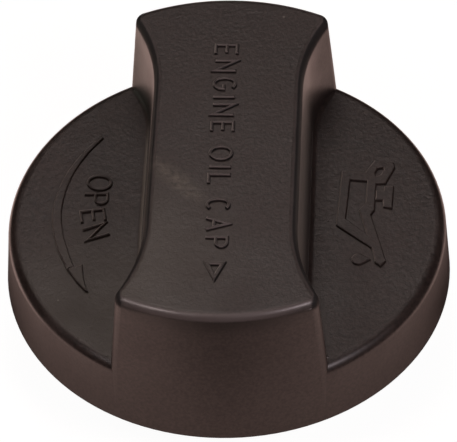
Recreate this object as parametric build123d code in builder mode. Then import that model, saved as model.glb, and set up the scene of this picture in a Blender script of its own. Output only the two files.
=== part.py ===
"""Oil filler cap: a moulded quarter-turn cap with a waisted grip bar, and its seal ring.

Millimetres, +Z up the cap's axis, grip bar along Y. The origin is the centre of the
stem's lower rim, which the cap stands on when it is off the engine.
"""

from build123d import *

import os
from math import atan2, cos, degrees, radians, sin, tan

# Skirt and disc
skirt_diameter = 64.0  # outside, at the lower edge
skirt_height = 10.2  # lower edge to disc face
skirt_draft = 4.2  # degrees
skirt_wall = 2.4
skirt_lip_fillet = 0.2
disc_thickness = 2.8
rim_fillet = 1.6

# Grip bar: a straight waist, and sides that sweep out on an arc and run on to the ends
grip_height = 14.3  # above the disc face
foot_width = 24.0  # across the waist at the disc face
foot_flare_start = 15.0  # in from the skirt's radius
foot_flare_radius = 15.5
foot_flare_angle = 55.0  # degrees
crest_width = 21.0  # across the waist at the top
crest_flare_start = 19.0  # in from the skirt's radius
crest_flare_radius = 28.0
crest_flare_angle = 40.0  # degrees
grip_end_draft = 2.45  # degrees
grip_end_rise = 1.2  # the end faces stand out of the skirt from this far above its lower edge
grip_corner_fillet = 1.6
grip_edge_fillet = 1.2
grip_foot_fillet = 0.8
grip_foot_sink = 0.1  # the foot's rounding runs this far into the bar's sides
grip_wall = 2.4

# Stem that plugs the filler neck
stem_diameter = 34.0
stem_drop = 10.0  # below the skirt's lower edge
stem_wall = 2.4
stem_rim_fillet = 0.6

# Seal ring and the groove that holds it
seal_width = 4.5
seal_thickness = 3.0
seal_edge_fillet = 0.5
seal_clearance = 0.1
groove_wall = 1.2
groove_depth = 1.8

# Bayonet lugs
lug_count = 2
lug_reach = 3.0  # out from the stem
lug_height = 4.0
lug_floor = 1.0  # above the stem's lower rim
lug_span = 54.0  # degrees
lug_lead_span = 24.0  # degrees of the span that ramp down at the leading end
lug_lead_drop = 1.8  # how far the ramp falls
lug_stop_span = 8.0  # degrees
lug_stop_height = 2.2  # above the lug

# Levels and radii that follow
skirt_radius = skirt_diameter / 2
stem_radius = stem_diameter / 2
stem_bore_radius = stem_radius - stem_wall
skirt_z = stem_drop
disc_z = skirt_z + skirt_height
ceiling_z = disc_z - disc_thickness
crest_z = disc_z + grip_height
rim_radius = skirt_radius - skirt_height * tan(radians(skirt_draft))
skirt_bore_low = skirt_radius - skirt_wall
skirt_bore_high = skirt_bore_low - (ceiling_z - skirt_z) * tan(radians(skirt_draft))
seal_inner = stem_radius + seal_clearance
seal_outer = seal_inner + seal_width
seal_z = ceiling_z - seal_thickness
groove_inner = seal_outer + seal_clearance
groove_outer = groove_inner + groove_wall
groove_z = ceiling_z - groove_depth
lug_tip_radius = stem_radius + lug_reach
lug_root_radius = stem_radius - stem_wall / 2
lug_top_z = lug_floor + lug_height

# The bar's plans run past its ends, which lie on a cone
bar_z = skirt_z + skirt_lip_fillet
foot_top_z = disc_z + 2 * grip_foot_fillet  # of the stock that the foot is rounded on
bar_reach = skirt_radius + foot_width / 2
end_low = skirt_radius - grip_end_rise * tan(radians(skirt_draft))
end_low += (grip_end_rise - skirt_lip_fillet) * tan(radians(grip_end_draft))
foot_flare = (foot_flare_start, foot_flare_radius, foot_flare_angle)
crest_flare = (crest_flare_start, crest_flare_radius, crest_flare_angle)

# The bar's hollows keep a wall inside its sides and top
side_draft = degrees(atan2((foot_width - crest_width) / 2, grip_height))
ceiling_half_width = foot_width / 2 + disc_thickness * tan(radians(side_draft))
core_half_width = ceiling_half_width - grip_wall / cos(radians(side_draft))
core_height = crest_z - grip_wall - ceiling_z


def waisted_plan(half_width, flare_start, flare_radius, flare_angle):
    """Plan of the grip bar: a straight waist and flared ends, out to y = +-bar_reach."""
    half_waist = skirt_radius - flare_start
    with BuildSketch() as plan:
        with BuildLine():
            waist = Line((half_width, -half_waist), (half_width, half_waist))
            sweep_out = JernArc(waist @ 1, waist % 1, flare_radius, -flare_angle)
            run_on = (bar_reach - (sweep_out @ 1).Y) / (sweep_out % 1).Y
            end = Line(sweep_out @ 1, sweep_out @ 1 + (sweep_out % 1) * run_on)
            mirror([sweep_out, end], about=Plane.XZ)
            mirror(about=Plane.YZ)
            Line((-(end @ 1).X, bar_reach), end @ 1)
            Line((-(end @ 1).X, -bar_reach), ((end @ 1).X, -bar_reach))
        make_face()
    return plan.sketch


def ended_plan(half_width, flare, level):
    """The plan at a level, its ends cut round where their cone is there, and its corners rounded."""
    with BuildSketch(Plane.XY.offset(level)) as ended:
        add(waisted_plan(half_width, *flare))
        Circle(end_low - (level - bar_z) * tan(radians(grip_end_draft)), mode=Mode.INTERSECT)
        corners = ended.vertices().sort_by(lambda corner: abs(corner.Y))[-4:]
        fillet(corners, radius=grip_corner_fillet)
    return ended.sketch


# Grip bar: lofted from the disc face to the crest, and run on down into the skirt
with BuildPart() as grip_bar:
    foot_plan = ended_plan(foot_width / 2, foot_flare, disc_z)
    crest_plan = ended_plan(crest_width / 2, crest_flare, crest_z)
    loft([foot_plan.face(), crest_plan.face()], ruled=True)
    fillet(faces().sort_by(Axis.Z)[-1].edges(), radius=grip_edge_fillet)
    extrude(foot_plan, amount=bar_z - disc_z, taper=-grip_end_draft)

# One bayonet lug, on the +X side: a stop at its trailing end and a ramp at its leading end
with BuildPart() as bayonet_lug:
    for start, span, top in (
        (-lug_span / 2, lug_span, lug_top_z),
        (lug_span / 2 - lug_stop_span, lug_stop_span, lug_top_z + lug_stop_height),
    ):
        outward = (cos(radians(start)), sin(radians(start)), 0)
        facing = (sin(radians(start)), -cos(radians(start)), 0)
        with BuildSketch(Plane((0, 0, 0), x_dir=outward, z_dir=facing)):
            with Locations(((lug_root_radius + lug_tip_radius) / 2, (lug_floor + top) / 2)):
                Rectangle(lug_tip_radius - lug_root_radius, top - lug_floor)
        revolve(axis=Axis.Z, revolution_arc=span)
    ramp_top = radians(lug_lead_span - lug_span / 2)
    ramp_length = lug_tip_radius * sin(radians(lug_lead_span))
    outward = (cos(ramp_top), sin(ramp_top), 0)
    along = (-sin(ramp_top), cos(ramp_top), 0)
    with BuildSketch(Plane((0, 0, lug_top_z), x_dir=along, z_dir=outward)):
        with BuildLine():
            Polyline(
                (0, 0),
                (-ramp_length, -lug_lead_drop),
                (-ramp_length, lug_height),
                (0, lug_height),
                close=True,
            )
        make_face()
    extrude(amount=lug_tip_radius + lug_reach, mode=Mode.SUBTRACT)

# Cap body
with BuildPart() as cap_body:
    # Foot of the grip bar, rounded on a wide plate that the outer section then trims
    with BuildSketch(Plane.XY.offset(skirt_z)):
        Circle(2 * bar_reach)
    extrude(amount=skirt_height)
    with BuildSketch(Plane.XY.offset(disc_z)):
        add(waisted_plan(foot_width / 2 - grip_foot_sink, *foot_flare))
    extrude(amount=3 * grip_foot_fillet)
    foot_edges = edges().filter_by_position(Axis.Z, disc_z, disc_z)
    fillet(foot_edges.sort_by(SortBy.LENGTH)[:-1], radius=grip_foot_fillet)
    with BuildSketch(Plane.XZ) as outer_section:
        with BuildLine():
            Polyline(
                (0, skirt_z),
                (skirt_radius, skirt_z),
                (rim_radius, disc_z),
                (rim_radius - rim_fillet, disc_z),
                (rim_radius - rim_fillet - (foot_top_z - disc_z), foot_top_z),
                (0, foot_top_z),
                close=True,
            )
        make_face()
        lip = outer_section.vertices().group_by(Axis.Y)[0].sort_by(Axis.X)[-1]
        fillet(lip, radius=skirt_lip_fillet)
        rim = outer_section.vertices().filter_by_position(Axis.Y, disc_z, disc_z).sort_by(Axis.X)[-1]
        fillet(rim, radius=rim_fillet)
    revolve(axis=Axis.Z, mode=Mode.INTERSECT)
    add(grip_bar.part)

    # Hollow under the disc
    with BuildSketch(Plane.XZ):
        with BuildLine():
            Polyline(
                (0, skirt_z),
                (skirt_bore_low, skirt_z),
                (skirt_bore_high, ceiling_z),
                (0, ceiling_z),
                close=True,
            )
        make_face()
    revolve(axis=Axis.Z, mode=Mode.SUBTRACT)

    # Hollows up inside the grip bar: one over the stem, and a pocket at each end
    with BuildSketch(Plane.XY.offset(ceiling_z)):
        add(waisted_plan(core_half_width, *foot_flare))
        Circle(stem_bore_radius, mode=Mode.INTERSECT)
    extrude(amount=core_height, taper=side_draft, mode=Mode.SUBTRACT)
    with BuildSketch(Plane.XY.offset(ceiling_z)):
        add(waisted_plan(core_half_width, *foot_flare))
        Circle(skirt_bore_high, mode=Mode.INTERSECT)
        Circle(groove_outer, mode=Mode.SUBTRACT)
    extrude(amount=core_height, taper=side_draft, mode=Mode.SUBTRACT)

    # Stem and groove wall, standing down from the ceiling
    with BuildSketch(Plane.XZ) as stem_section:
        with Locations(((stem_bore_radius + stem_radius) / 2, ceiling_z / 2)):
            Rectangle(stem_wall, ceiling_z)
        fillet(stem_section.vertices().group_by(Axis.Y)[0], radius=stem_rim_fillet)
    revolve(axis=Axis.Z)
    with BuildSketch(Plane.XZ):
        with Locations(((groove_inner + groove_outer) / 2, (groove_z + ceiling_z) / 2)):
            Rectangle(groove_wall, groove_depth)
    revolve(axis=Axis.Z)
    with PolarLocations(0, lug_count):
        add(bayonet_lug.part)
cap_body.part.label = "cap_body"

# Seal ring, face to face with the ceiling of its groove
with BuildPart() as seal_ring:
    with BuildSketch(Plane.XZ) as seal_section:
        with Locations(((seal_inner + seal_outer) / 2, (seal_z + ceiling_z) / 2)):
            Rectangle(seal_width, seal_thickness)
        fillet(seal_section.vertices(), radius=seal_edge_fillet)
    revolve(axis=Axis.Z)
seal_ring.part.label = "seal_ring"

os.makedirs("parts", exist_ok=True)
export_step(cap_body.part, "parts/cap_body.step")
export_step(seal_ring.part, "parts/seal_ring.step")
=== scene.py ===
import bmesh
import bpy
from math import cos, radians, sin
from mathutils import Matrix, Vector


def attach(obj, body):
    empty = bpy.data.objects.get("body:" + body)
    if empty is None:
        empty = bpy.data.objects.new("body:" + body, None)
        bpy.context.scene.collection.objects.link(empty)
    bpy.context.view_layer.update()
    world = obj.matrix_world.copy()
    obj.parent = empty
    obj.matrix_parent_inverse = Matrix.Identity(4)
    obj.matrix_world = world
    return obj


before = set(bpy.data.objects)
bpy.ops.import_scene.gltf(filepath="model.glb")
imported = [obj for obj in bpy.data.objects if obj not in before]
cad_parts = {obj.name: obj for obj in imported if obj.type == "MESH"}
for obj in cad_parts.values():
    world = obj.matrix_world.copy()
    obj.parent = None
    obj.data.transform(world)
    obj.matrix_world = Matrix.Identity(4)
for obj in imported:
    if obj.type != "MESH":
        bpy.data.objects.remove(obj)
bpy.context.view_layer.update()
print("frame loaded:", ", ".join(sorted(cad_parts)))

mm = 0.001
touching = 0.001        # mm; points closer than this are one
discTop = 20.2 * mm     # face that the word, the arrow and the oil can stand on
crestTop = 34.5 * mm    # top face of the grip bar


# nodes that the materials are made of

def newMaterial(name):
    material = bpy.data.materials.new(name)
    material.use_nodes = True
    tree = material.node_tree
    return material, tree, tree.nodes["Principled BSDF"]


def feed(tree, socket, given):
    # gives a socket a number, a colour or another node's output
    if isinstance(given, bpy.types.NodeSocket):
        tree.links.new(given, socket)
    else:
        socket.default_value = given


def noiseNode(tree, place, scale, detail, roughness=0.6):
    node = tree.nodes.new("ShaderNodeTexNoise")
    node.inputs["Scale"].default_value = scale
    node.inputs["Detail"].default_value = detail
    node.inputs["Roughness"].default_value = roughness
    tree.links.new(place.outputs["Object"], node.inputs["Vector"])
    return node.outputs["Fac"]


def mathNode(tree, operation, first, *others):
    # a chain of one operation over all that is given
    for other in others:
        node = tree.nodes.new("ShaderNodeMath")
        node.operation = operation
        feed(tree, node.inputs[0], first)
        feed(tree, node.inputs[1], other)
        first = node.outputs["Value"]
    return first


def vectorNode(tree, operation, *vectors):
    node = tree.nodes.new("ShaderNodeVectorMath")
    node.operation = operation
    for socket, given in zip(node.inputs, vectors):
        feed(tree, socket, given)
    return node.outputs["Vector" if operation == "NORMALIZE" else "Value"]


def splitNode(tree, vector):
    node = tree.nodes.new("ShaderNodeSeparateXYZ")
    tree.links.new(vector, node.inputs["Vector"])
    return node.outputs


def rangeNode(tree, value, span, result=(0, 1), smooth=False):
    # turns a span of the value into a span of the result
    node = tree.nodes.new("ShaderNodeMapRange")
    node.interpolation_type = "SMOOTHSTEP" if smooth else "LINEAR"
    for socket, given in zip(("From Min", "From Max", "To Min", "To Max"), (*span, *result)):
        node.inputs[socket].default_value = given
    tree.links.new(value, node.inputs["Value"])
    return node.outputs["Result"]


def inverse(tree, mask):
    return rangeNode(tree, mask, (0, 1), (1, 0))


def blendNode(tree, share, first, second):
    node = tree.nodes.new("ShaderNodeMix")
    node.data_type = "RGBA"
    tree.links.new(share, node.inputs["Factor"])
    feed(tree, node.inputs[6], first)     # the two colour sockets
    feed(tree, node.inputs[7], second)
    return node.outputs[2]


def patchNode(tree, place, centre, halves, full, turn=0):
    # 1 out to a share of a patch on the surface, then fading to 0 at its edge
    patch = tree.nodes.new("ShaderNodeMapping")
    patch.vector_type = "TEXTURE"
    patch.inputs["Location"].default_value = centre
    patch.inputs["Rotation"].default_value = (0, 0, radians(turn))
    patch.inputs["Scale"].default_value = halves
    tree.links.new(place.outputs["Object"], patch.inputs["Vector"])
    reach = vectorNode(tree, "LENGTH", patch.outputs["Vector"])
    return rangeNode(tree, reach, (full, 1), (1, 0), smooth=True)


def bumpNode(tree, shader, height, strength, distance):
    node = tree.nodes.new("ShaderNodeBump")
    feed(tree, node.inputs["Height"], height)
    feed(tree, node.inputs["Strength"], strength)
    feed(tree, node.inputs["Distance"], distance)
    tree.links.new(node.outputs["Normal"], shader.inputs["Normal"])


# materials

plasticLook = {
    "dark": (0.011, 0.0076, 0.0066, 1),        # brownish black, as moulded
    "pale": (0.033, 0.0235, 0.0205, 1),
    "toneGrain": 0.7,                          # what makes it darker or paler
    "toneCloud": 0.3,
    "toneSpan": (0.38, 0.62),                  # of the noise, from dark to pale
    "grainNoise": (2200, 3),                   # scale and detail; spark-eroded grain, about 0.45 mm
    "grainTop": 0.90,                          # bump on faces that look up
    "grainSide": 0.10,                         # bump on the walls, drawn smoother by the mould
    "grainDepth": 0.06 * mm,
    "mottleNoise": (900, 2),                   # slower dents in the grain, about 1.1 mm
    "mottleShare": 1.3,                        # their depth against the grain's
    "cloudNoise": (90, 4),                     # slow clouds in colour and gloss
    "cloudSpan": (0.3, 0.7),                   # of the noise, from smooth to dull
    "roughCloud": 0.16,                        # how far that moves the roughness in all
    "roughTop": 0.52,
    "roughSide": 0.42,
    "roughBrow": 0.36,                         # rounded edges, rubbed smoother
    "roughEdge": 0.40,                         # added on the crest's side edges
    "specular": 0.5,
    # how far a face turns until it counts, by one part of its normal
    "upward": (0.90, 0.985),
    "rounded": (0.12, 0.30),
    "flank": (0.25, 0.5),
    "leftward": (-0.15, -0.6),
    "rightward": (0.6, 0.9),
    "frontward": (-0.1, -0.35),
    # painted shade along the crest's side edges and on the end faces just under it
    "shadeColour": (0, 0, 0, 1),
    "crestHeights": (32.8 * mm, 33.4 * mm),    # where the crest's rounding begins
    "edgeShade": 0.80,                         # share of the colour that its side edges lose
    "browShade": 0.68,                         # and the end faces under it
    "browHeights": (30.8 * mm, 32.6 * mm),
    # the bar's walls, with painted light on their sides
    "wallLightColour": (0.152, 0.136, 0.117, 1),    # painted light on the walls
    "wallLightHeights": (22.0 * mm, 29.0 * mm),     # on the right it grows between these
    "wallLightInner": 10.2 * mm,                    # out from the bar's middle
    "wallLightOuter": 14.5 * mm,
    "wallFade": (13.0 * mm, 21.0 * mm),        # along the bar from its middle
    "flareDustAndSheenColour": (0.060, 0.064, 0.054, 1),    # dust and painted reflection on the left flare of the back end
    # painted highlights on the markings' edges that face back left
    "markHighlightColour": (0.24, 0.21, 0.19, 1),
    "markHeading": (-0.7, 0.7, 0),
    "markTurned": (0.15, 0.5),                 # how far an edge faces that way
    "markInner": 15.0 * mm,                    # the disc's markings lie outside this, across the cap
    "markFoot": 0.1 * mm,                      # above the faces that carry them
    # painted highlight on the ends' crests, painted light on the tops in front on the left, and a scuff
    # on the bar's top
    "crestHighlightColour": (0.080, 0.066, 0.063, 1),
    "topLightColour": (0.042, 0.035, 0.0285, 1),
    "topLightCentre": (-16.0 * mm, -20.0 * mm, 27.0 * mm),
    "topLightHalves": (26.0 * mm, 26.0 * mm, 26.0 * mm),
    "topLightFull": 0.2,                           # share of the patch that has it in full
    "scuffColour": (0.105, 0.091, 0.071, 1),
    "scuffCentre": (-6.5 * mm, -5.5 * mm, crestTop),
    "scuffHalves": (8.0 * mm, 2.2 * mm, 4.0 * mm),
    "scuffTurn": -45.7,                        # degrees
    "scuffFull": 0.1,
    "scuffNoise": (900, 5),
    "scuffSpan": (0.35, 0.75),                 # of the noise, from none to full
    # specks of dust on the faces that look up
    "dustColour": (0.12, 0.11, 0.095, 1),
    "dustScale": 170,                          # cells of about 6 mm
    "dustSize": 0.030,                         # a speck's radius as a share of its cell
    "dustShare": 0.4,                          # share of the cells that hold one
}


def readSurface(tree, look):
    # where a point lies on the cap, and which way it faces
    place = tree.nodes.new("ShaderNodeTexCoord")
    spot = splitNode(tree, place.outputs["Object"])
    facing = splitNode(tree, place.outputs["Normal"])
    upward = rangeNode(tree, facing["Z"], look["upward"])
    rounded = rangeNode(tree, facing["Z"], look["rounded"])
    flank = rangeNode(tree, mathNode(tree, "ABSOLUTE", facing["X"], 0), look["flank"])
    crest = rangeNode(tree, spot["Z"], look["crestHeights"])
    return {
        "place": place,
        "height": spot["Z"],
        "along": spot["Y"],
        "aside": mathNode(tree, "ABSOLUTE", spot["X"], 0),
        "endward": mathNode(tree, "ABSOLUTE", spot["Y"], 0),
        "upward": upward,
        "sloping": inverse(tree, upward),
        "rounded": rounded,
        "upright": inverse(tree, rounded),
        "endways": inverse(tree, flank),
        "leftward": rangeNode(tree, facing["X"], look["leftward"]),
        "rightward": rangeNode(tree, facing["X"], look["rightward"]),
        "frontward": rangeNode(tree, facing["Y"], look["frontward"]),
        "crest": crest,
        "sideEdge": mathNode(tree, "MULTIPLY", crest, flank),
    }


def paintTone(tree, look, grain, cloud):
    fine = mathNode(tree, "MULTIPLY", grain, look["toneGrain"])
    slow = mathNode(tree, "MULTIPLY", cloud, look["toneCloud"])
    tone = rangeNode(tree, mathNode(tree, "ADD", fine, slow), look["toneSpan"])
    return blendNode(tree, tone, look["dark"], look["pale"])


# painted light on the bar's side walls, and dust with painted reflection on the left flare of the back
# end
def paintWalls(tree, look, at, colour):
    above = mathNode(tree, "GREATER_THAN", at["height"], discTop)
    inner = mathNode(tree, "GREATER_THAN", at["aside"], look["wallLightInner"])
    outer = mathNode(tree, "LESS_THAN", at["aside"], look["wallLightOuter"])
    fade = rangeNode(tree, at["endward"], look["wallFade"], (1, 0), smooth=True)
    high = rangeNode(tree, at["height"], look["wallLightHeights"])
    sides = mathNode(tree, "ADD", mathNode(tree, "MULTIPLY", at["rightward"], high), at["leftward"])
    litWall = mathNode(tree, "MULTIPLY", sides, inner, outer, above, fade)
    colour = blendNode(tree, litWall, colour, look["wallLightColour"])
    behind = rangeNode(tree, at["along"], look["wallFade"], smooth=True)
    # dust and painted reflection on the left flare
    litPatch = mathNode(tree, "MULTIPLY", at["frontward"], at["leftward"], above, behind)
    return blendNode(tree, litPatch, colour, look["flareDustAndSheenColour"])


# painted shade: darkens the crest's side edges and the end faces just under the crest
def paintShade(tree, look, at, colour):
    edge = mathNode(tree, "MULTIPLY", at["sideEdge"], look["edgeShade"])
    colour = blendNode(tree, edge, colour, look["shadeColour"])
    under = rangeNode(tree, at["height"], look["browHeights"], (0, look["browShade"]))
    brow = mathNode(tree, "MULTIPLY", under, at["upright"], at["endways"])
    return blendNode(tree, brow, colour, look["shadeColour"])


def paintMarkHighlights(tree, look, at, colour):
    onDisc = mathNode(tree, "GREATER_THAN", at["height"], discTop + look["markFoot"])
    outside = mathNode(tree, "GREATER_THAN", at["aside"], look["markInner"])
    amid = mathNode(tree, "LESS_THAN", at["endward"], look["markInner"])
    onBar = mathNode(tree, "GREATER_THAN", at["height"], crestTop + look["markFoot"])
    marked = mathNode(tree, "MAXIMUM", mathNode(tree, "MULTIPLY", onDisc, outside, amid), onBar)
    heading = vectorNode(tree, "DOT_PRODUCT", at["place"].outputs["Normal"], look["markHeading"])
    turned = rangeNode(tree, heading, look["markTurned"])
    # painted highlight on the edges that face back left
    pale = mathNode(tree, "MULTIPLY", turned, marked, at["sloping"])
    return blendNode(tree, pale, colour, look["markHighlightColour"])


def paintHighlightsAndScuff(tree, look, at, colour):
    # painted highlight on the rounded crests of the bar's ends
    brow = mathNode(tree, "MULTIPLY", at["crest"], at["endways"], at["rounded"], at["sloping"])
    colour = blendNode(tree, brow, colour, look["crestHighlightColour"])
    # painted light: the tops paler in front on the left
    litPatch = patchNode(tree, at["place"], look["topLightCentre"], look["topLightHalves"], look["topLightFull"])
    litTop = mathNode(tree, "MULTIPLY", litPatch, at["upward"])
    colour = blendNode(tree, litTop, colour, look["topLightColour"])
    streak = patchNode(
        tree, at["place"], look["scuffCentre"], look["scuffHalves"], look["scuffFull"], look["scuffTurn"]
    )
    scratches = rangeNode(tree, noiseNode(tree, at["place"], *look["scuffNoise"]), look["scuffSpan"])
    scuff = mathNode(tree, "MULTIPLY", streak, scratches)
    return blendNode(tree, scuff, colour, look["scuffColour"])


def paintSpecks(tree, look, at, colour):
    cells = tree.nodes.new("ShaderNodeTexVoronoi")
    cells.inputs["Scale"].default_value = look["dustScale"]
    tree.links.new(at["place"].outputs["Object"], cells.inputs["Vector"])
    tint = tree.nodes.new("ShaderNodeSeparateColor")
    tree.links.new(cells.outputs["Color"], tint.inputs["Color"])
    speck = mathNode(tree, "LESS_THAN", cells.outputs["Distance"], look["dustSize"])
    chosen = mathNode(tree, "LESS_THAN", tint.outputs["Red"], look["dustShare"])
    dust = mathNode(tree, "MULTIPLY", speck, chosen, at["upward"])
    return blendNode(tree, dust, colour, look["dustColour"])


def setGloss(tree, shader, look, at, cloud):
    walls = rangeNode(tree, at["rounded"], (0, 1), (look["roughSide"], look["roughBrow"]))
    tops = rangeNode(tree, at["upward"], (0, 1), (0, look["roughTop"] - look["roughBrow"]))
    edges = mathNode(tree, "MULTIPLY", at["sideEdge"], look["roughEdge"])
    half = look["roughCloud"] / 2
    uneven = rangeNode(tree, cloud, look["cloudSpan"], (-half, half))
    tree.links.new(mathNode(tree, "ADD", walls, tops, edges, uneven), shader.inputs["Roughness"])
    shader.inputs["Specular IOR Level"].default_value = look["specular"]


def setGrain(tree, shader, look, at, grain):
    mottle = noiseNode(tree, at["place"], *look["mottleNoise"])
    dents = mathNode(tree, "MULTIPLY", mottle, look["mottleShare"])
    strength = rangeNode(tree, at["upward"], (0, 1), (look["grainSide"], look["grainTop"]))
    bumpNode(tree, shader, mathNode(tree, "ADD", grain, dents), strength, look["grainDepth"])


def makePlastic(look):
    material, tree, shader = newMaterial("capPlastic")
    at = readSurface(tree, look)
    grain = noiseNode(tree, at["place"], *look["grainNoise"])
    cloud = noiseNode(tree, at["place"], *look["cloudNoise"])
    colour = paintTone(tree, look, grain, cloud)
    for paint in (paintWalls, paintShade, paintMarkHighlights, paintHighlightsAndScuff, paintSpecks):
        colour = paint(tree, look, at, colour)
    tree.links.new(colour, shader.inputs["Base Color"])
    setGloss(tree, shader, look, at, cloud)
    setGrain(tree, shader, look, at, grain)
    return material


rubberLook = {
    "dark": (0.012, 0.012, 0.013, 1),
    "pale": (0.022, 0.022, 0.023, 1),
    "bloomNoise": (420, 5),
    "bloomSpan": (0.4, 0.65),
    "bloomStrength": 0.2,
    "bloomDepth": 0.1 * mm,
    "roughness": 0.72,
    "specular": 0.3,
}


def makeRubber(look):
    material, tree, shader = newMaterial("sealRubber")
    place = tree.nodes.new("ShaderNodeTexCoord")
    bloom = noiseNode(tree, place, *look["bloomNoise"])
    share = rangeNode(tree, bloom, look["bloomSpan"])
    tree.links.new(blendNode(tree, share, look["dark"], look["pale"]), shader.inputs["Base Color"])
    bumpNode(tree, shader, bloom, look["bloomStrength"], look["bloomDepth"])
    shader.inputs["Roughness"].default_value = look["roughness"]
    shader.inputs["Specular IOR Level"].default_value = look["specular"]
    return material


capPlastic = makePlastic(plasticLook)
sealRubber = makeRubber(rubberLook)
for node, material in (("cap_body", capPlastic), ("seal_ring", sealRubber)):
    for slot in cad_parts[node].material_slots:
        slot.material = material
print("materials on the CAD nodes")


# raised markings

relief = {
    "height": 0.45 * mm,     # above the face
    "sink": 0.05 * mm,       # below it
    "edge": 0.17 * mm,       # rounding of the upper edges
    "steep": 0.5,            # a face whose normal rises less than this is a wall
}


def finishPiece(name, bm):
    bmesh.ops.remove_doubles(bm, verts=bm.verts, dist=touching * mm)
    bmesh.ops.recalc_face_normals(bm, faces=bm.faces)
    mesh = bpy.data.meshes.new(name)
    bm.to_mesh(mesh)
    bm.free()
    mesh.materials.append(capPlastic)
    piece = bpy.data.objects.new(name, mesh)
    bpy.context.collection.objects.link(piece)
    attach(piece, "root")
    print(name, len(mesh.polygons), "faces")


def flatFace(bm, corners, floor):
    return bm.faces.new([bm.verts.new((x * mm, y * mm, floor)) for x, y in corners])


def flatBand(bm, outer, inner, floor):
    # a band between two loops, corner to corner; a corner of the inner loop may serve twice
    for i in range(len(outer)):
        corners = [outer[i - 1], outer[i], inner[i]]
        if inner[i - 1] != inner[i]:
            corners.append(inner[i - 1])
        flatFace(bm, corners, floor)


def raiseFaces(bm, look):
    # stands the flat faces up by the relief and rounds their upper edges
    bmesh.ops.remove_doubles(bm, verts=bm.verts, dist=touching * mm)
    bmesh.ops.recalc_face_normals(bm, faces=bm.faces)
    made = bmesh.ops.extrude_face_region(bm, geom=bm.faces[:])["geom"]
    tops = [item for item in made if isinstance(item, bmesh.types.BMVert)]
    bmesh.ops.translate(bm, verts=tops, vec=(0, 0, look["sink"] + look["height"]))
    bmesh.ops.recalc_face_normals(bm, faces=bm.faces)
    raised = set(tops)
    brow = []
    for edge in bm.edges:
        lowest = min(face.normal.z for face in edge.link_faces)
        if raised.issuperset(edge.verts) and lowest < look["steep"]:
            brow.append(edge)
    bmesh.ops.bevel(
        bm, geom=brow, offset=look["edge"], affect="EDGES", segments=2, profile=0.5, material=-1
    )


def bow(centre, halves, start, end, steps):
    # points on an ellipse, the bearings in degrees
    points = []
    for step in range(steps + 1):
        turn = radians(start + (end - start) * step / steps)
        points.append((centre[0] + halves[0] * cos(turn), centre[1] + halves[1] * sin(turn)))
    return points


cell = ((0.5, 0.5), (0.5, 0.5))    # middle and halves of the cell that a letter fills
bowl = bow((0.5, 0.74), (0.5, 0.26), 72, -72, 8)
letterShapes = {
    # width as a share of the height, then centre lines in a cell one wide and one high
    "A": (0.74, [(0, 0), (0.5, 1), (1, 0)], [(0.19, 0.36), (0.81, 0.36)]),
    "C": (0.72, bow(*cell, 48, 312, 22)),
    "E": (0.62, [(1, 1), (0, 1), (0, 0), (1, 0)], [(0, 0.52), (0.88, 0.52)]),
    "G": (0.78, bow(*cell, 48, 325, 22) + [(0.95, 0.46), (0.58, 0.46)]),
    "I": (0.12, [(0.5, 0), (0.5, 1)]),
    "L": (0.60, [(0, 1), (0, 0), (1, 0)]),
    "N": (0.70, [(0, 0), (0, 1), (1, 0), (1, 1)]),
    "O": (0.82, bow(*cell, 0, 360, 32)),
    "P": (0.62, [(0, 0), (0, 1), (0.5, 1)] + bowl + [(0.5, 0.48), (0, 0.48)]),
}


def strokeBand(bm, points, width, floor, sharpest=0.35):
    # a band of even width along a line; it closes where the ends meet, and its bends are
    # mitred, down to a least cosine for the sharpest
    path = [Vector(point) for point in points]
    closed = (path[0] - path[-1]).length < touching
    if closed:
        path.pop()
    count = len(path)
    rails = []
    for i, point in enumerate(path):
        before = path[i - 1] if closed or i else point
        after = path[(i + 1) % count] if closed or i < count - 1 else point
        inward = (point - before if before != point else after - point).normalized()
        outward = (after - point if after != point else point - before).normalized()
        normal = Vector((-inward.y - outward.y, inward.x + outward.x)).normalized()
        share = max(normal.dot(Vector((-inward.y, inward.x))), sharpest)
        rails.append((point + normal * width / 2 / share, point - normal * width / 2 / share))
    for i in range(count if closed else count - 1):
        first, second = rails[i], rails[(i + 1) % count]
        flatFace(bm, (first[0], first[1], second[1], second[0]), floor)


def strokeLetter(bm, look, letter, base, turn, width, floor):
    # base is the middle of the letter's foot, mm; turned by 0 it reads to -y with its top to +x
    stroke = look["stroke"]
    upright = Vector((cos(radians(turn)), sin(radians(turn))))
    along = Vector((upright.y, -upright.x))
    for line in letterShapes[letter][1:]:
        points = []
        for u, v in line:
            across = (u - 0.5) * (width - stroke)
            rise = stroke / 2 + v * (look["height"] - stroke)
            points.append(Vector(base) + along * across + upright * rise)
        strokeBand(bm, points, stroke, floor)


wordOpen = {
    # letter, middle of its foot in mm, turn in degrees and width in mm
    "letters": (
        ("O", (-20.50, 7.05), -6, 3.05),
        ("P", (-20.85, 3.62), 2, 2.30),
        ("E", (-21.05, 0.02), 10, 2.55),
        ("N", (-20.30, -3.45), 23, 2.55),
    ),
    "height": 3.75,          # mm
    "stroke": 0.42,
}


def makeWordOpen(look):
    floor = discTop - relief["sink"]
    bm = bmesh.new()
    for letter, base, turn, width in look["letters"]:
        strokeLetter(bm, look, letter, base, turn, width, floor)
    raiseFaces(bm, relief)
    finishPiece("wordOpen", bm)


wordBar = {
    "text": "ENGINE OIL CAP",
    "from": 21.1,            # along the bar, mm
    "to": -18.4,
    "base": -2.2,            # across it
    "space": 2.6,            # between words
    "height": 3.5,
    "stroke": 0.45,
}


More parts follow.
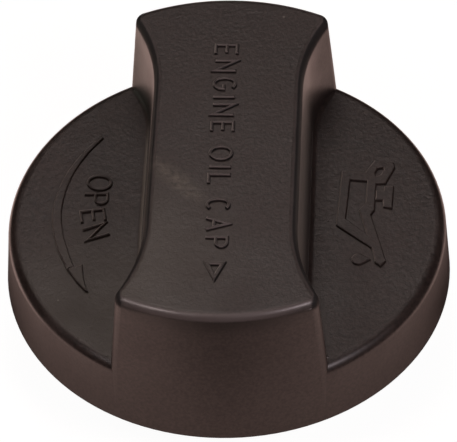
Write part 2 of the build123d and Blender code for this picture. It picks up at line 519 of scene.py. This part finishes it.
def makeWordBar(look):
    words = look["text"].split()
    letters = "".join(words)
    widths = {}
    for letter in letters:
        widths[letter] = max(letterShapes[letter][0] * look["height"], look["stroke"])
    filled = sum(widths[letter] for letter in letters) + (len(words) - 1) * look["space"]
    gap = (look["from"] - look["to"] - filled) / (len(letters) - len(words))
    floor = crestTop - relief["sink"]
    bm = bmesh.new()
    along = look["from"]
    for word in words:
        for letter in word:
            base = (look["base"], along - widths[letter] / 2)
            strokeLetter(bm, look, letter, base, 0, widths[letter], floor)
            along -= widths[letter] + gap
        along -= look["space"] - gap
    print("gap between the bar's letters", round(gap, 2), "mm")
    raiseFaces(bm, relief)
    finishPiece("wordBar", bm)


turnArrow = {
    # bearing in degrees, outer radius and inner radius in mm
    "shaft": (
        (139.8, 24.80, 24.31), (160, 25.05, 24.08), (178, 25.15, 23.75),
        (195, 24.66, 23.24), (204.3, 24.33, 23.30),
    ),
    "head": ((204.3, 24.33, 22.05), (211, 24.17, 23.00), (215.6, 23.98, 23.62)),
    "tip": (216.8, 23.70),
    "step": 2.0,             # degrees
}


def makeTurnArrow(look):
    bm = bmesh.new()
    floor = discTop - relief["sink"]
    for stations in (look["shaft"], look["head"]):
        rim = []
        for (first, outer, inner), (second, outerNext, innerNext) in zip(stations, stations[1:]):
            steps = round((second - first) / look["step"])
            for step in range(steps + 1):
                share = step / steps
                bearing = radians(first + (second - first) * share)
                heading = Vector((cos(bearing), sin(bearing)))
                rim.append((
                    heading * (outer + (outerNext - outer) * share),
                    heading * (inner + (innerNext - inner) * share),
                ))
        for before, after in zip(rim, rim[1:]):
            if (before[0] - after[0]).length > touching:
                flatFace(bm, (before[0], before[1], after[1], after[0]), floor)
    bearing, radius = look["tip"]
    tip = Vector((cos(radians(bearing)), sin(radians(bearing)))) * radius
    flatFace(bm, (rim[-1][0], rim[-1][1], tip), floor)
    raiseFaces(bm, relief)
    finishPiece("turnArrow", bm)


oilCan = {
    # corners on the disc, mm: x across the cap, y along the grip bar; the can lies with its spout to -y
    "bodyOuter": (
        (16.2, 9.65), (15.6, -0.9), (20.75, -5.2), (21.95, -4.1),
        (20.55, 1.2), (21.1, 2.1), (21.25, 7.2), (19.6, 9.5),
    ),
    "bodyInner": (
        (17.5, 7.95), (17.0, 0.35), (20.0, -2.55), (20.0, -2.55),
        (18.8, 2.05), (19.75, 3.55), (19.9, 7.7), (19.9, 7.7),
    ),
    "spout": (
        (20.75, -5.2), (21.17, -7.1), (21.2, -7.9),
        (22.1, -8.7), (22.85, -7.65), (21.95, -4.1),
    ),
    "knob": (
        (21.2, 5.9), (21.14, 4.0), (22.2, 4.0), (22.3, 2.7),
        (23.6, 2.45), (23.8, 6.8), (22.4, 6.7), (22.3, 5.9),
    ),
    "handleOuter": (
        (19.6, 9.5), (20.9, 11.8), (23.7, 11.4),
        (23.9, 10.5), (22.6, 7.3), (21.25, 7.2),
    ),
    "handleInner": (
        (21.0, 9.2), (21.4, 10.25), (22.2, 10.4),
        (22.3, 10.1), (21.8, 8.9), (21.2, 8.7),
    ),
    "dropCentre": (18.9, -7.35),
    "dropRadius": 1.0,
    "dropTip": 1.75,           # out from its centre
    "dropRound": (45, 315),    # bearings between which it is round, degrees
    "dropSteps": 14,
}


def makeOilCan(look):
    bm = bmesh.new()
    floor = discTop - relief["sink"]
    flatBand(bm, look["bodyOuter"], look["bodyInner"], floor)
    flatFace(bm, look["spout"], floor)
    flatFace(bm, look["knob"], floor)
    flatBand(bm, look["handleOuter"], look["handleInner"], floor)
    x, y = look["dropCentre"]
    halves = (look["dropRadius"], look["dropRadius"])
    drop = bow((x, y), halves, *look["dropRound"], look["dropSteps"])
    flatFace(bm, [(x + look["dropTip"], y)] + drop, floor)
    raiseFaces(bm, relief)
    finishPiece("oilCan", bm)


pointer = {
    "corners": ((-2.05, -20.95), (-0.4, -24.65), (1.15, -20.95)),    # on the crest, mm
    "stroke": 0.62 * mm,
}


def makePointer(look):
    bm = bmesh.new()
    face = flatFace(bm, look["corners"], crestTop - relief["sink"])
    bm.normal_update()
    bmesh.ops.inset_region(
        bm, faces=[face], thickness=look["stroke"], use_boundary=True, use_even_offset=True
    )
    bmesh.ops.delete(bm, geom=[face], context="FACES_ONLY")
    raiseFaces(bm, relief)
    finishPiece("pointer", bm)


makeWordOpen(wordOpen)
makeWordBar(wordBar)
makeTurnArrow(turnArrow)
makeOilCan(oilCan)
makePointer(pointer)
print("markings raised")


# floor, light and camera

studio = {
    "floorSize": 4.0,         # m
    "floorGap": 0.05 * mm,    # under the stem's rim
    "floorColour": (0.80, 0.75, 0.71, 1),
    "floorRoughness": 0.9,
    "shadowShare": 0.12,      # how much of its own shading the white floor shows
    "whiteStrength": 1.09,
    "sheenColour": (1, 0.68, 0.60, 1),
    "sheenLeft": 1.82,        # how bright the floor round the cap is in reflections
    "sheenRight": 1.39,
    "sheenFront": 0.75,
    "sheenBack": 0.27,
    "sheenRing": (0.040, 0.058, 0.075, 0.120),    # it grows and fades between these distances
    "sheenNear": (0.030, 0.036, 0.044, 0.070),    # and in front between these
    "worldColour": (0.9, 0.95, 1.0, 1),
    "worldStrength": 0.01,
    "lamps": (
        # name, place and size in m, watts, colour; all look at the cap
        ("topBack", (-0.02, 0.12, 0.31), 0.16, 0.28, (1, 0.87, 0.82)),
        ("topMid", (-0.03, -0.10, 0.68), 0.40, 0.24, (1, 0.80, 0.75)),
        ("nearLeft", (-0.10, -0.11, 0.20), 0.09, 0.14, (1, 0.86, 0.84)),
        ("keyRight", (0.36, -0.36, 0.48), 0.22, 1.69, (1, 0.86, 0.90)),
    ),
}


def sheenStrength(tree, look):
    # brightness of the floor by heading and distance from the cap
    place = tree.nodes.new("ShaderNodeTexCoord").outputs["Object"]
    reach = vectorNode(tree, "LENGTH", place)
    toward = splitNode(tree, vectorNode(tree, "NORMALIZE", place))
    left = rangeNode(tree, toward["X"], (0, -1), (0, look["sheenLeft"]))
    right = rangeNode(tree, toward["X"], (0, 1), (0, look["sheenRight"]))
    front = rangeNode(tree, toward["Y"], (0, -1), (0, look["sheenFront"]))
    back = rangeNode(tree, toward["Y"], (0, 1), (0, look["sheenBack"]))
    around = mathNode(tree, "ADD", left, right, back)
    shares = []
    for share, ring in ((around, look["sheenRing"]), (front, look["sheenNear"])):
        grown = rangeNode(tree, reach, ring[:2], smooth=True)
        faded = rangeNode(tree, reach, ring[2:], (1, 0), smooth=True)
        shares.append(mathNode(tree, "MULTIPLY", share, grown, faded))
    return mathNode(tree, "ADD", *shares)


def mixShaders(tree, share, first, second):
    node = tree.nodes.new("ShaderNodeMixShader")
    tree.links.new(share, node.inputs["Fac"])
    tree.links.new(first, node.inputs[1])
    tree.links.new(second, node.inputs[2])
    return node.outputs["Shader"]


def makePaper(look):
    material, tree, shader = newMaterial("paperFloor")
    shader.inputs["Base Color"].default_value = look["floorColour"]
    shader.inputs["Roughness"].default_value = look["floorRoughness"]
    shader.inputs["Specular IOR Level"].default_value = 0
    white = tree.nodes.new("ShaderNodeEmission")    # what the camera sees, with a share of the shadow
    white.inputs["Strength"].default_value = look["whiteStrength"]
    sheen = tree.nodes.new("ShaderNodeEmission")    # what the cap's sides mirror
    sheen.inputs["Color"].default_value = look["sheenColour"]
    tree.links.new(sheenStrength(tree, look), sheen.inputs["Strength"])
    path = tree.nodes.new("ShaderNodeLightPath")
    seen = mathNode(tree, "MULTIPLY", path.outputs["Is Camera Ray"], 1 - look["shadowShare"])
    plain = mixShaders(tree, seen, shader.outputs["BSDF"], white.outputs["Emission"])
    shown = mixShaders(tree, path.outputs["Is Glossy Ray"], plain, sheen.outputs["Emission"])
    tree.links.new(shown, tree.nodes["Material Output"].inputs["Surface"])
    return material


def makeFloor(look):
    bm = bmesh.new()
    bmesh.ops.create_grid(bm, x_segments=1, y_segments=1, size=look["floorSize"] / 2)
    bmesh.ops.translate(bm, verts=bm.verts, vec=(0, 0, -look["floorGap"]))
    mesh = bpy.data.meshes.new("floor")
    bm.to_mesh(mesh)
    bm.free()
    mesh.materials.append(makePaper(look))
    floor = bpy.data.objects.new("floor", mesh)
    bpy.context.collection.objects.link(floor)


def makeLights(look):
    world = bpy.context.scene.world or bpy.data.worlds.new("studio")
    bpy.context.scene.world = world
    world.use_nodes = True
    background = world.node_tree.nodes["Background"]
    background.inputs["Color"].default_value = look["worldColour"]
    background.inputs["Strength"].default_value = look["worldStrength"]
    for name, place, size, watts, colour in look["lamps"]:
        lamp = bpy.data.lights.new(name, "AREA")
        lamp.shape = "DISK"
        lamp.size = size
        lamp.energy = watts
        lamp.color = colour
        holder = bpy.data.objects.new(name, lamp)
        holder.location = place
        aim = Vector((0, 0, discTop)) - Vector(place)
        holder.rotation_euler = aim.to_track_quat("-Z", "Y").to_euler()
        bpy.context.collection.objects.link(holder)


view = {
    "azimuth": 3.8,          # degrees, from the -Y side
    "elevation": 47.5,
    "roll": -2.1,
    "distance": 0.600,       # m
    "target": (0.00022, 0.000015, 0.02007),
    "lens": 330.5,           # mm
    "sensor": 36,            # mm across
}


def makeCamera(look):
    azimuth, elevation, roll = (radians(look[key]) for key in ("azimuth", "elevation", "roll"))
    back = Vector((sin(azimuth) * cos(elevation), -cos(azimuth) * cos(elevation), sin(elevation)))
    right = Vector((cos(azimuth), sin(azimuth), 0))
    up = back.cross(right)
    rolledRight = cos(roll) * right + sin(roll) * up
    rolledUp = cos(roll) * up - sin(roll) * right
    data = bpy.data.cameras.new("photoView")
    data.lens = look["lens"]
    data.sensor_fit = "HORIZONTAL"
    data.sensor_width = look["sensor"]
    camera = bpy.data.objects.new("photoView", data)
    turn = Matrix((rolledRight, rolledUp, back)).transposed().to_4x4()
    camera.matrix_world = Matrix.Translation(Vector(look["target"]) + back * look["distance"]) @ turn
    bpy.context.collection.objects.link(camera)
    bpy.context.scene.camera = camera


makeFloor(studio)
makeLights(studio)
makeCamera(view)
bpy.context.scene.view_settings.view_transform = "Standard"
print("floor, light and camera set")
